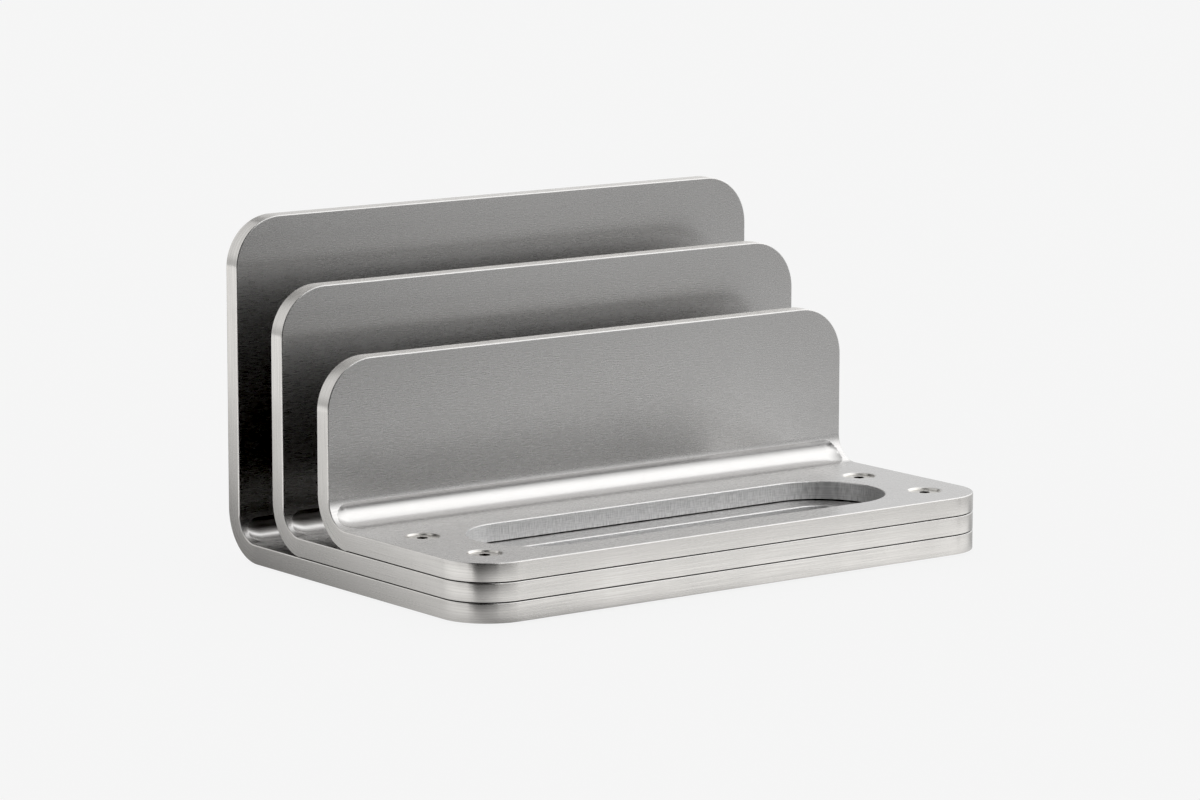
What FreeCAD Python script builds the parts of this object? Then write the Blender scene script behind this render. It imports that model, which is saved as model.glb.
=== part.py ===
import FreeCAD, Part
import math
import os
import Sketcher

# Desk sorter for envelopes and cards: three plates bent to an L and stacked leaf on leaf, so that
# their upright flanges stand one behind the other in rising steps. Four countersunk screws clamp
# the leaves together. A long well is cut down through the two upper leaves for pens and clips.
# Millimetres. +Z is up, +X is to the right, and the front looks along -Y. The origin is on the
# desk, under the middle of the plan.

SIZES = {
    # plates
    "width": "200",  # every plate, left to right
    "front_depth": "82",  # front plate, leaf's front end to flange's back
    "front_height": "56.5",  # front plate, underside to flange's top
    "flange_spacing": "25",  # flange to flange: each plate is deeper by this than the one above it
    "flange_rise": "25",  # and taller by this
    "plate_thickness": "6",
    "bend_inner_radius": "6",
    "bend_outer_radius": "16",  # more than inner radius and wall together: the bend is drawn thin
    "corner_radius": "16",  # leaf's front corners, seen from above
    "flange_corner_radius": "16",  # flange's upper corners, seen from the front
    "edge_bevel": "0.4",  # every cut edge is broken by this much
    # well, centred on the screws
    "well_end_gap": "9",  # screws' line to the well's round end
    "well_width": "40",
    "ledge_width": "10",  # how far the middle leaf stands into the well all round
    # screws
    "screw_inset": "15",  # plate's side to the screw's axis
    "screw_setback": "16",  # leaf's front end to the front screws' axes
    "screw_spacing": "32",  # front screws to rear screws
    "shank_diameter": "5",
    "shank_clearance": "0.25",  # radial, in the two upper leaves
    "head_diameter": "9.4",
    "head_land": "0.1",  # short cylinder above the head's cone
    "head_sink": "0.6",  # leaf's face to the head's top
    "socket_width": "3",  # hexagon, across flats
    "socket_depth": "2",
    "tip_recess": "1.5",  # rear leaf's underside to the screw's tip
    "tip_chamfer": "0.6",
    # feet
    "foot_diameter": "12",
    "foot_height": "1",
    "foot_bevel": "0.3",
    "foot_margin": "6",  # rear bend's start to the rear feet's rims
}

PLATES = ("rear_plate", "middle_plate", "front_plate")  # from the lowest leaf up
SIDES = {"left": "-", "right": ""}  # the sign before a distance from the middle
FULL_TURN = 360
COUNTERSINK_ANGLE = 90
HEXAGON_SIDES = 6
SHARP_ANGLE = 30  # two faces that meet at more degrees than this share a sharp edge
NEAR_SHARE = 0.001  # of a wall: how close counts as touching when an edge is looked up
START, END, CENTRE = 1, 2, 3  # the point of a line or an arc that a constraint holds
ORIGIN = (-1, START)

doc = FreeCAD.newDocument("desk_sorter")
sheet = doc.addObject("Spreadsheet::Sheet", "sizes")
for row, (name, value) in enumerate(SIZES.items(), start=1):
    sheet.set(f"A{row}", name)
    sheet.set(f"B{row}", value)
    sheet.setAlias(f"B{row}", name)
doc.recompute()


def worked_out(expression):
    """The number that an expression on the sheet gives."""
    return float(sheet.evalExpression(expression))


def plate_depth(tier):
    """Depth of a plate as an expression; the lowest plate is tier 0."""
    return f"(sizes.front_depth + {len(PLATES) - 1 - tier} * sizes.flange_spacing)"


def plate_height(tier):
    return f"(sizes.front_height + {len(PLATES) - 1 - tier} * sizes.flange_rise)"


def leaf_level(tier):
    """Height of a leaf's underside above the desk."""
    return f"(sizes.foot_height + {tier} * sizes.plate_thickness)"


def new_body(name):
    body = doc.addObject("PartDesign::Body", name)
    body.Label = name
    return body


def new_sketch(body, name, plane_role, lift="0"):
    """A sketch on one of the body's own origin planes, raised along the plane's normal."""
    sketch = body.newObject("Sketcher::SketchObject", f"{body.Name}_{name}")
    plane = next(item for item in body.Origin.OriginFeatures if item.Role == plane_role)
    sketch.AttachmentSupport = [(plane, "")]
    sketch.MapMode = "FlatFace"
    sketch.setExpression("AttachmentOffset.Base.z", lift)
    return sketch


def add_line(sketch, start, end):
    return sketch.addGeometry(Part.LineSegment(FreeCAD.Vector(*start, 0), FreeCAD.Vector(*end, 0)))


def add_loop(sketch, corners):
    """Straight lines from corner to corner and back to the first, joined end to start."""
    lines = [add_line(sketch, start, end) for start, end in zip(corners, corners[1:] + corners[:1])]
    for line, following in zip(lines, lines[1:] + lines[:1]):
        tie(sketch, "Coincident", line, END, following, START)
    return lines


def circle_at(centre, radius):
    return Part.Circle(FreeCAD.Vector(*centre, 0), FreeCAD.Vector(0, 0, 1), radius)


def add_arc(sketch, centre, radius, first, last):
    """An arc, anticlockwise from one angle in degrees to another."""
    arc = Part.ArcOfCircle(circle_at(centre, radius), math.radians(first), math.radians(last))
    return sketch.addGeometry(arc)


def tie(sketch, kind, *held):
    sketch.addConstraint(Sketcher.Constraint(kind, *held))


def dimension(sketch, kind, expression, *held):
    """A driving size of the sketch, bound to the sheet."""
    index = sketch.addConstraint(Sketcher.Constraint(kind, *held, worked_out(expression)))
    sketch.setExpression(f"Constraints[{index}]", expression)


def add_feature(body, kind, name, **settings):
    """One more step of the body, set up and worked out at once."""
    feature = body.newObject(f"PartDesign::{kind}", f"{body.Name}_{name}")
    for key, value in settings.items():
        setattr(feature, key, value)
    body.Tip = feature
    doc.recompute()
    return feature


def bind(item, **expressions):
    """Binds properties to the sheet; an underscore in a key stands for a dot."""
    for key, expression in expressions.items():
        item.setExpression(key.replace("_", "."), expression)
    doc.recompute()


def edges_where(feature, wanted):
    return [f"Edge{number}" for number, edge in enumerate(feature.Shape.Edges, start=1) if wanted(edge)]


def is_sharp(shape, edge):
    """True where the two faces at an edge don't run smoothly into each other."""
    middle = edge.valueAt((edge.FirstParameter + edge.LastParameter) / 2)
    normals = []
    for face in shape.ancestorsOfType(edge, Part.Face):
        normals.append(face.normalAt(*face.Surface.parameter(middle)))
    return len(normals) == 2 and math.degrees(normals[0].getAngle(normals[1])) > SHARP_ANGLE


def check_cut(before, feature):
    """Stops the script if a cut took nothing off."""
    if not feature.Shape.Volume < before.Shape.Volume:
        raise RuntimeError(f"{feature.Name} cuts nothing")


def place(body, across, along, height):
    """Stands a body at its place; along is counted from the leaves' front ends."""
    bind(body, Placement_Base_x=across)
    bind(body, Placement_Base_y=f"{along} - {plate_depth(0)} / 2")
    bind(body, Placement_Base_z=height)


def screw_places():
    """Name of each screw, and its place on the plan as two expressions."""
    for side, sign in SIDES.items():
        across = f"{sign}(sizes.width / 2 - sizes.screw_inset)"
        yield f"screw_front_{side}", across, "sizes.screw_setback"
        yield f"screw_rear_{side}", across, "(sizes.screw_setback + sizes.screw_spacing)"


def foot_places():
    """Front feet between the screws of their side, rear feet in line, just before the rear bend."""
    bend_start = f"{plate_depth(0)} - sizes.bend_outer_radius"
    for side, sign in SIDES.items():
        across = f"{sign}(sizes.width / 2 - sizes.screw_inset)"
        yield f"foot_front_{side}", across, "(sizes.screw_setback + sizes.screw_spacing / 2)"
        yield f"foot_rear_{side}", across, f"({bend_start} - sizes.foot_margin - sizes.foot_diameter / 2)"


def draw_bent_outline(sketch, depth, height):
    """Side view of a bent plate: leaf along the sketch's first axis, flange up at its far end."""
    far, top, wall = worked_out(depth), worked_out(height), worked_out("sizes.plate_thickness")
    inner, outer = worked_out("sizes.bend_inner_radius"), worked_out("sizes.bend_outer_radius")
    underside = add_line(sketch, (0, 0), (far - outer, 0))
    outer_bend = add_arc(sketch, (far - outer, outer), outer, 270, 360)
    back = add_line(sketch, (far, outer), (far, top))
    crest = add_line(sketch, (far, top), (far - wall, top))
    face = add_line(sketch, (far - wall, top), (far - wall, wall + inner))
    inner_bend = add_arc(sketch, (far - wall - inner, wall + inner), inner, 270, 360)
    leaf_top = add_line(sketch, (far - wall - inner, wall), (0, wall))
    front_end = add_line(sketch, (0, wall), (0, 0))
    tie(sketch, "Coincident", underside, START, *ORIGIN)
    tie(sketch, "Tangent", underside, END, outer_bend, START)
    tie(sketch, "Tangent", outer_bend, END, back, START)
    tie(sketch, "Coincident", back, END, crest, START)
    tie(sketch, "Coincident", crest, END, face, START)
    tie(sketch, "Tangent", face, END, inner_bend, END)
    tie(sketch, "Tangent", inner_bend, START, leaf_top, START)
    tie(sketch, "Coincident", leaf_top, END, front_end, START)
    tie(sketch, "Coincident", front_end, END, underside, START)
    for level in (underside, crest, leaf_top):
        tie(sketch, "Horizontal", level)
    for upright in (back, face, front_end):
        tie(sketch, "Vertical", upright)
    dimension(sketch, "DistanceX", depth, *ORIGIN, back, END)
    dimension(sketch, "DistanceY", height, *ORIGIN, back, END)
    dimension(sketch, "DistanceX", "sizes.plate_thickness", crest, END, crest, START)
    dimension(sketch, "DistanceY", "sizes.plate_thickness", front_end, END, front_end, START)
    dimension(sketch, "Radius", "sizes.bend_inner_radius", inner_bend)
    dimension(sketch, "Radius", "sizes.bend_outer_radius", outer_bend)


def draw_well_outline(sketch, ledge):
    """Plan of the well in one leaf: a slot with round ends, smaller all round by the ledge."""
    radius = f"(sizes.well_width / 2 - {ledge})"
    half_run = "(sizes.width / 2 - sizes.screw_inset - sizes.well_end_gap - sizes.well_width / 2)"
    middle = "(sizes.screw_setback + sizes.screw_spacing / 2)"
    r, run, y = worked_out(radius), worked_out(half_run), worked_out(middle)
    near = add_line(sketch, (-run, y - r), (run, y - r))
    right = add_arc(sketch, (run, y), r, -90, 90)
    far = add_line(sketch, (run, y + r), (-run, y + r))
    left = add_arc(sketch, (-run, y), r, 90, 270)
    tie(sketch, "Tangent", near, END, right, START)
    tie(sketch, "Tangent", right, END, far, START)
    tie(sketch, "Tangent", far, END, left, START)
    tie(sketch, "Tangent", left, END, near, START)
    tie(sketch, "Horizontal", near)
    tie(sketch, "Equal", left, right)
    dimension(sketch, "Radius", radius, right)
    dimension(sketch, "DistanceX", half_run, *ORIGIN, right, CENTRE)
    dimension(sketch, "DistanceX", half_run, left, CENTRE, *ORIGIN)
    dimension(sketch, "DistanceY", middle, *ORIGIN, right, CENTRE)


def draw_screw_plan(sketch, radius):
    """A circle at each screw."""
    for _, across, along in screw_places():
        x, y = worked_out(across), worked_out(along)
        circle = sketch.addGeometry(circle_at((x, y), worked_out(radius)))
        dimension(sketch, "Radius", radius, circle)
        ends = (*ORIGIN, circle, CENTRE) if x > 0 else (circle, CENTRE, *ORIGIN)
        dimension(sketch, "DistanceX", f"abs({across})", *ends)
        dimension(sketch, "DistanceY", along, *ORIGIN, circle, CENTRE)


def make_plate(name, tier):
    """One bent plate: bent blank, round corners, well, broken edges and screw holes, in that order."""
    body = new_body(name)
    side_view = new_sketch(body, "side_view", "YZ_Plane")
    draw_bent_outline(side_view, plate_depth(tier), plate_height(tier))
    blank = add_feature(body, "Pad", "blank", Profile=side_view, SideType="Symmetric")
    bind(blank, Length="sizes.width")

    near = NEAR_SHARE * worked_out("sizes.plate_thickness")
    crest = worked_out(plate_height(tier)) - near
    ends = edges_where(blank, lambda edge: edge.BoundBox.YMax < near and edge.BoundBox.XLength < near)
    cornered = add_feature(body, "Fillet", "front_corners", Base=(blank, ends))
    bind(cornered, Radius="sizes.corner_radius")
    ends = edges_where(cornered, lambda edge: edge.BoundBox.ZMin > crest and edge.BoundBox.XLength < near)
    shaped = add_feature(body, "Fillet", "flange_corners", Base=(cornered, ends))
    bind(shaped, Radius="sizes.flange_corner_radius")

    if tier > 0:
        outline = new_sketch(body, "well_outline", "XY_Plane", "sizes.plate_thickness")
        draw_well_outline(outline, f"{len(PLATES) - 1 - tier} * sizes.ledge_width")
        well = add_feature(body, "Pocket", "well", Profile=outline, Type="ThroughAll")
        check_cut(shaped, well)
        shaped = well

    sharp = edges_where(shaped, lambda edge: is_sharp(shaped.Shape, edge))
    broken = add_feature(body, "Chamfer", "broken_edges", Base=(shaped, sharp))
    bind(broken, Size="sizes.edge_bevel")

    plan = new_sketch(body, "screw_plan", "XY_Plane", "sizes.plate_thickness")
    clearance = "sizes.shank_clearance" if tier > 0 else "0"
    draw_screw_plan(plan, f"(sizes.shank_diameter / 2 + {clearance})")
    holes = add_feature(body, "Hole", "screw_holes", Profile=plan, DepthType="ThroughAll")
    bind(holes, Diameter=f"sizes.shank_diameter + 2 * {clearance}")
    if tier == len(PLATES) - 1:
        holes.HoleCutType = "Countersink"
        holes.HoleCutCustomValues = True
        holes.HoleCutCountersinkAngle = COUNTERSINK_ANGLE
        bind(holes, HoleCutDiameter="sizes.head_diameter + 2 * (sizes.head_sink + sizes.head_land)")
    check_cut(broken, holes)
    place(body, "0", "0", leaf_level(tier))
    return body


def draw_screw_section(sketch):
    """Half of a countersunk screw, cut along its axis, with the head's top at the origin."""
    head, shank = worked_out("sizes.head_diameter / 2"), worked_out("sizes.shank_diameter / 2")
    land, tip = worked_out("sizes.head_land"), worked_out("sizes.tip_chamfer")
    length = f"({len(PLATES)} * sizes.plate_thickness - sizes.head_sink - sizes.tip_recess)"
    end = worked_out(length)
    taper = "(sizes.head_diameter - sizes.shank_diameter) / 2"
    lines = add_loop(
        sketch,
        (
            (0, 0),
            (head, 0),
            (head, -land),
            (shank, -land - worked_out(taper)),
            (shank, tip - end),
            (shank - tip, -end),
            (0, -end),
        ),
    )
    top, rim, cone, side, bevel, tip_face, axis = lines
    tie(sketch, "Coincident", top, START, *ORIGIN)
    for level in (top, tip_face):
        tie(sketch, "Horizontal", level)
    for upright in (rim, side, axis):
        tie(sketch, "Vertical", upright)
    dimension(sketch, "DistanceX", "sizes.head_diameter / 2", *ORIGIN, top, END)
    dimension(sketch, "DistanceY", "sizes.head_land", rim, END, rim, START)
    for direction in ("DistanceX", "DistanceY"):
        dimension(sketch, direction, taper, cone, END, cone, START)
        dimension(sketch, direction, "sizes.tip_chamfer", bevel, END, bevel, START)
    dimension(sketch, "DistanceY", length, axis, START, axis, END)


def draw_socket_plan(sketch):
    """A regular hexagon on a construction circle, two of its flats along the first axis."""
    corner = worked_out("sizes.socket_width") / 2 / math.cos(math.pi / HEXAGON_SIDES)
    turns = [2 * math.pi * number / HEXAGON_SIDES for number in range(HEXAGON_SIDES)]
    flats = add_loop(sketch, [(corner * math.cos(turn), corner * math.sin(turn)) for turn in turns])
    ring = sketch.addGeometry(circle_at((0, 0), corner), True)
    tie(sketch, "Coincident", ring, CENTRE, *ORIGIN)
    for flat in flats:
        tie(sketch, "PointOnObject", flat, START, ring)
    for flat in flats[1:]:
        tie(sketch, "Equal", flats[0], flat)
    upper, lower = flats[1], flats[4]
    tie(sketch, "Horizontal", upper)
    dimension(sketch, "DistanceY", "sizes.socket_width", lower, START, upper, START)


def make_screw(name, across, along):
    """A countersunk screw with a hexagon socket."""
    body = new_body(name)
    section = new_sketch(body, "half_section", "XZ_Plane")
    draw_screw_section(section)
    turned = add_feature(body, "Revolution", "turned", Profile=section, Angle=FULL_TURN)
    turned.ReferenceAxis = (section, ["V_Axis"])
    doc.recompute()
    plan = new_sketch(body, "socket_plan", "XY_Plane")
    draw_socket_plan(plan)
    socket = add_feature(body, "Pocket", "socket", Profile=plan)
    bind(socket, Length="sizes.socket_depth")
    check_cut(turned, socket)
    place(body, across, along, f"{leaf_level(len(PLATES))} - sizes.head_sink")
    return body


def make_foot(name, across, along):
    """A round pad under the rear leaf, its lower rim bevelled."""
    body = new_body(name)
    plan = new_sketch(body, "plan", "XY_Plane")
    ring = plan.addGeometry(circle_at((0, 0), worked_out("sizes.foot_diameter / 2")))
    tie(plan, "Coincident", ring, CENTRE, *ORIGIN)
    dimension(plan, "Radius", "sizes.foot_diameter / 2", ring)
    disc = add_feature(body, "Pad", "disc", Profile=plan)
    bind(disc, Length="sizes.foot_height")
    near = NEAR_SHARE * worked_out("sizes.foot_height")
    rim = edges_where(disc, lambda edge: edge.BoundBox.ZMax < near)
    bevelled = add_feature(body, "Chamfer", "lower_rim", Base=(disc, rim))
    bind(bevelled, Size="sizes.foot_bevel")
    place(body, across, along, "0")
    return body


bodies = [make_plate(name, tier) for tier, name in enumerate(PLATES)]
bodies += [make_screw(*where) for where in screw_places()]
bodies += [make_foot(*where) for where in foot_places()]
doc.recompute()

for item in doc.Objects:
    if "Invalid" in item.State or "Error" in item.State:
        raise RuntimeError(f"{item.Name} failed: {item.State}")
    if item.isDerivedFrom("Sketcher::SketchObject") and not item.FullyConstrained:
        raise RuntimeError(f"{item.Name} isn't fully constrained")
for body in bodies:
    if body.Shape.isNull() or not body.Shape.isValid() or len(body.Shape.Solids) != 1:
        raise RuntimeError(f"{body.Label} isn't one valid solid")

os.makedirs("parts", exist_ok=True)
for body in bodies:
    body.Shape.exportStep(os.path.join("parts", f"{body.Label}.step"))
    print(f"{body.Label:18s} {body.Shape.Volume:10.1f} mm3")
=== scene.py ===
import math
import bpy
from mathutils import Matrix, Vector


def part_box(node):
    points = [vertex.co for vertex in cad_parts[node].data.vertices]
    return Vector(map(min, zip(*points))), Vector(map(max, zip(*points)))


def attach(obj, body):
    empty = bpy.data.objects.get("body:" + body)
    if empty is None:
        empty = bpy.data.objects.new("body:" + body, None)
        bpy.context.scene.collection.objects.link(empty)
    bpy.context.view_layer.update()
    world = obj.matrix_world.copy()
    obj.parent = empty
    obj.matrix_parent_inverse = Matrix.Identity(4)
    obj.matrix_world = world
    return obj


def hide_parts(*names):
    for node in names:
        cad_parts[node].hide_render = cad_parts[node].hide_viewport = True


bl_info = {
    "name": "Desk Envelope Sorter",
    "version": (1, 0, 0),
    "blender": (4, 5, 0),
    "location": "View3D > Sidebar > Sorter",
    "description": "Three bent steel plates, their screws and feet, and the studio they stand in",
    "category": "Add Mesh",
}

from contextlib import contextmanager

import bmesh
import bpy
from mathutils import Euler, Matrix, Vector

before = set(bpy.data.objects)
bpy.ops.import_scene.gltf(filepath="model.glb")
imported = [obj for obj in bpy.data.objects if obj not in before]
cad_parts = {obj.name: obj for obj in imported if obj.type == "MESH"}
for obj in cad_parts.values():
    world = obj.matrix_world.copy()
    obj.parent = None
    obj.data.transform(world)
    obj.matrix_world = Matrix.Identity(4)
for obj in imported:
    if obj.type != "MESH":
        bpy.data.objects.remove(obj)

MM = 0.001
BODY = "root"
PLATES = ("rear_plate", "middle_plate", "front_plate")  # from the lowest leaf up
SCREWS = ("screw_front_left", "screw_front_right", "screw_rear_left", "screw_rear_right")
FEET = ("foot_front_left", "foot_front_right", "foot_rear_left", "foot_rear_right")
NEAR = 0.01 * MM  # how far off a vertex may lie and still count as being in a place
OVERRUN = 1 * MM  # how far a cutter stands out of what it cuts
FLAT_LIMIT = 0.7  # a face whose normal has more than this along an axis faces that way
ROUND_SIDES = 64  # sides of a screw, a foot or a drilled hole
SMOOTH_ANGLE = math.radians(30)  # faces of a screw or a foot that meet at less are shaded as one


def linear(code):
    """The linear colour of an sRGB hex code."""
    channels = [int(code[start:start + 2], 16) / 255 for start in (1, 3, 5)]
    return tuple(c / 12.92 if c <= 0.04045 else ((c + 0.055) / 1.055) ** 2.4 for c in channels)


# Properties


class SorterSizes(bpy.types.PropertyGroup):
    """Lengths that the CAD parts' boxes don't give."""

    bend_inner_radius: bpy.props.FloatProperty(
        name="Inner bend",
        description="Radius of the inner bend at a plate's sides, where the tool mark ends",
        default=8.5 * MM,
        unit="LENGTH",
    )
    tool_radius: bpy.props.FloatProperty(
        name="Tool mark",
        description="Radius of the round tool that was pressed into the inner bend",
        default=5.9 * MM,
        unit="LENGTH",
    )
    tool_offset: bpy.props.FloatProperty(
        name="Tool offset",
        description="From the tool's axis to the flange's front",
        default=6 * MM,
        unit="LENGTH",
    )
    tool_margin: bpy.props.FloatProperty(
        name="Tool margin",
        description="From a plate's side to the middle of the tool's round end",
        default=7 * MM,
        unit="LENGTH",
    )
    bend_outer_radius: bpy.props.FloatProperty(
        name="Outer bend",
        description="Radius of the bend between a leaf's underside and its flange's back",
        default=16 * MM,
        unit="LENGTH",
    )
    corner_radius: bpy.props.FloatProperty(
        name="Leaf corners",
        description="Radius of a leaf's front corners, seen from above",
        default=16 * MM,
        unit="LENGTH",
    )
    flange_corner_radius: bpy.props.FloatProperty(
        name="Flange corners",
        description="Radius of a flange's upper corners, seen from the front",
        default=16 * MM,
        unit="LENGTH",
    )
    edge_rounding: bpy.props.FloatProperty(
        name="Edge rounding",
        description="How far every cut edge of a plate is eased",
        default=0.4 * MM,
        unit="LENGTH",
    )
    lower_edge_rounding: bpy.props.FloatProperty(
        name="Lower edge rounding",
        description="How far the crisper edge round a leaf's underside is eased",
        default=0.12 * MM,
        unit="LENGTH",
    )
    seam_height: bpy.props.FloatProperty(
        name="Seam",
        description="Gap between two leaves at their edges, where the sheets don't quite touch",
        default=0.28 * MM,
        unit="LENGTH",
    )
    seam_reach: bpy.props.FloatProperty(
        name="Seam reach",
        description="How far in the gap between two leaves goes",
        default=2.5 * MM,
        unit="LENGTH",
    )
    well_end_gap: bpy.props.FloatProperty(
        name="Well to screws",
        description="From the line of the screws to the well's round end",
        default=9 * MM,
        unit="LENGTH",
    )
    well_width: bpy.props.FloatProperty(
        name="Well width",
        description="Width of the well in the front plate's leaf",
        default=40 * MM,
        unit="LENGTH",
    )
    ledge_width: bpy.props.FloatProperty(
        name="Ledge",
        description="How far the middle plate's leaf stands into the well all round",
        default=10 * MM,
        unit="LENGTH",
    )
    shank_diameter: bpy.props.FloatProperty(
        name="Screw shank",
        description="Diameter of the screws' shanks and of their holes in the rear plate",
        default=5 * MM,
        unit="LENGTH",
    )
    shank_clearance: bpy.props.FloatProperty(
        name="Shank clearance",
        description="Radial gap round a shank in the two upper leaves",
        default=0.25 * MM,
        unit="LENGTH",
    )
    head_land: bpy.props.FloatProperty(
        name="Head land",
        description="Height of the short cylinder above the head's cone",
        default=0.1 * MM,
        unit="LENGTH",
    )
    socket_width: bpy.props.FloatProperty(
        name="Socket",
        description="Hexagon socket of the screws, across flats",
        default=3 * MM,
        unit="LENGTH",
    )
    socket_depth: bpy.props.FloatProperty(
        name="Socket depth",
        description="Depth of the hexagon socket",
        default=2 * MM,
        unit="LENGTH",
    )


class SorterFinish(bpy.types.PropertyGroup):
    """Colours of the finishes."""

    plate_colour: bpy.props.FloatVectorProperty(
        name="Plate",
        description="Brushed stainless steel of the plates' faces",
        subtype="COLOR",
        default=linear("#B4B3B2"),
        min=0,
        max=1,
    )
    rim_colour: bpy.props.FloatVectorProperty(
        name="Rim",
        description="Ground stainless steel of the plates' cut edges",
        subtype="COLOR",
        default=linear("#B7B5B2"),
        min=0,
        max=1,
    )
    wall_colour: bpy.props.FloatVectorProperty(
        name="Well wall",
        description="Beam-cut stainless steel inside the well",
        subtype="COLOR",
        default=linear("#DADADA"),
        min=0,
        max=1,
    )
    screw_colour: bpy.props.FloatVectorProperty(
        name="Screw",
        description="Turned stainless steel of the screws and their countersinks",
        subtype="COLOR",
        default=linear("#BAB8B4"),
        min=0,
        max=1,
    )
    # painted shade: this near-black colour stands in for the shade deep inside the sockets
    socket_shade_colour: bpy.props.FloatVectorProperty(
        name="Socket",
        description="Broached steel inside the screws' sockets, dark with oil",
        subtype="COLOR",
        default=linear("#2E2B28"),
        min=0,
        max=1,
    )
    foot_colour: bpy.props.FloatVectorProperty(
        name="Foot",
        description="Rubber of the feet",
        subtype="COLOR",
        default=linear("#232324"),
        min=0,
        max=1,
    )


class SorterStudio(bpy.types.PropertyGroup):
    """Camera, floor and lights."""

    camera_place: bpy.props.FloatVectorProperty(
        name="Camera",
        description="Place of the camera",
        subtype="TRANSLATION",
        default=(-874.06 * MM, -1155.67 * MM, 289.30 * MM),
    )
    camera_turn: bpy.props.FloatProperty(
        name="Turn",
        description="How far the camera looks to the right of straight back",
        subtype="ANGLE",
        default=0.64465,
    )
    camera_pitch: bpy.props.FloatProperty(
        name="Pitch",
        description="How far the camera looks down",
        subtype="ANGLE",
        default=0.16407,
    )
    camera_tilt: bpy.props.FloatProperty(
        name="Tilt",
        description="How far the camera leans to its left",
        subtype="ANGLE",
        default=0.00207,
    )
    camera_lens: bpy.props.FloatProperty(
        name="Lens",
        description="Focal length in millimetres on a frame 36 mm wide",
        default=141.563,
    )
    surround_colour: bpy.props.FloatVectorProperty(
        name="Surroundings",
        description="Pale floor and studio walls",
        subtype="COLOR",
        default=linear("#F6F6F6"),
        min=0,
        max=1,
    )
    floor_glow: bpy.props.FloatProperty(
        name="Floor glow",
        description="Share of the floor's brightness that comes from below, as on a light table",
        subtype="FACTOR",
        default=0.95,
    )


# Modelling helpers


def only(piece):
    """Selects one piece and nothing else."""
    bpy.ops.object.select_all(action="DESELECT")
    piece.select_set(True)
    bpy.context.view_layer.objects.active = piece


@contextmanager
def editing(piece):
    """Opens a piece in edit mode and closes it again."""
    only(piece)
    bpy.ops.object.mode_set(mode="EDIT")
    yield
    bpy.ops.object.mode_set(mode="OBJECT")


def pick(kind, wanted):
    """In edit mode, selects just the vertices, edges or faces that pass a test."""
    bpy.ops.mesh.select_all(action="DESELECT")
    bpy.ops.mesh.select_mode(type=kind)
    mesh = bmesh.from_edit_mesh(bpy.context.edit_object.data)
    elements = {"VERT": mesh.verts, "EDGE": mesh.edges, "FACE": mesh.faces}[kind]
    for element in elements:
        if wanted(element):
            element.select_set(True)
    mesh.select_flush_mode()
    bmesh.update_edit_mesh(bpy.context.edit_object.data)


def middle(element):
    """Middle of an edge or a face."""
    return sum((vertex.co for vertex in element.verts), Vector()) / len(element.verts)


def all_near(element, **place):
    """True where all of an element's vertices have the given x, y or z."""
    return all(
        abs(getattr(vertex.co, axis) - value) <= NEAR
        for vertex in element.verts
        for axis, value in place.items()
    )


def extrude(x=0, y=0, z=0):
    """Pulls the selected faces out."""
    bpy.ops.mesh.extrude_region_move(TRANSFORM_OT_translate={"value": (x, y, z)})


def widen(centre, share):
    """Scales the selection on the plan, about an upright axis."""
    bpy.ops.transform.resize(value=(share, share, 1), center_override=(*centre, 0))


def round_edges(radius, segments):
    """Rounds the selected edges, or chamfers them where there is one segment."""
    bpy.ops.mesh.bevel(
        offset_type="OFFSET", offset=radius, segments=segments, affect="EDGES", clamp_overlap=False
    )


def settle(piece):
    """Puts a piece's place into its mesh."""
    only(piece)
    bpy.ops.object.transform_apply(location=True, rotation=True, scale=True)


def named(name):
    """Names the shape that was just added, and settles it."""
    piece = bpy.context.object
    piece.name = name
    piece.data.name = name
    settle(piece)
    return piece


def new_box(name, low, high):
    """A box between two corners."""
    bpy.ops.object.select_all(action="DESELECT")
    low, high = Vector(low), Vector(high)
    bpy.ops.mesh.primitive_cube_add(size=1, location=(low + high) / 2, scale=high - low)
    return named(name)


def new_cylinder(name, centre, radius, low, high, sides=ROUND_SIDES, turn=0):
    """An upright cylinder between two levels."""
    bpy.ops.object.select_all(action="DESELECT")
    bpy.ops.mesh.primitive_cylinder_add(
        vertices=sides,
        radius=radius,
        depth=high - low,
        location=(*centre, (low + high) / 2),
        rotation=(0, 0, turn),
    )
    return named(name)


def modify(piece, kind, **settings):
    """Adds a modifier and applies it."""
    only(piece)
    modifier = piece.modifiers.new(kind.title(), kind)
    for key, value in settings.items():
        setattr(modifier, key, value)
    bpy.ops.object.modifier_apply(modifier=modifier.name)


def give_materials(piece, *names):
    """Puts materials on a piece; its faces start with the first."""
    for name in names:
        piece.data.materials.append(bpy.data.materials[name])


def cut(piece, cutter, material):
    """Takes a cutter's shape out of a piece, and gives the cut walls one of the piece's materials."""
    give_materials(cutter, material)
    modify(piece, "BOOLEAN", operation="DIFFERENCE", object=cutter, solver="EXACT", material_mode="TRANSFER")
    bpy.data.objects.remove(cutter)


def finish_piece(piece, slot, *nodes):
    """Hides the CAD nodes that a finished piece stands in for, and hangs the piece on the body."""
    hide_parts(*nodes)
    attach(piece, BODY)


def plan_centre(name):
    """Middle of a CAD node on the plan."""
    low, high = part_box(name)
    return ((low.x + high.x) / 2, (low.y + high.y) / 2)


# Materials


GRAIN_MAP = "grain"  # UV map in metres: U along the brushing, V across it

# Stainless sheet, brushed along the plate's width: a calm satin grey that spreads what it reflects up and
# down into soft bands, with a faint grain of paler and darker scratches.
SHEET = "brushed_stainless_sheet"

# The same sheet where the bending tool pressed it: the scratches are burnished down, so that the bend
# shines brighter and shows its lights more crisply.
BEND = "burnished_stainless_bend"

# Cut edges, ground along the outline: long thin streaks, which draw lights out across the rim.
RIM = "ground_stainless_rim"

# The wall of the well as the cutting beam left it: paler and matt, mottled by fine striations.
WALL = "beam_cut_stainless_wall"

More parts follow.
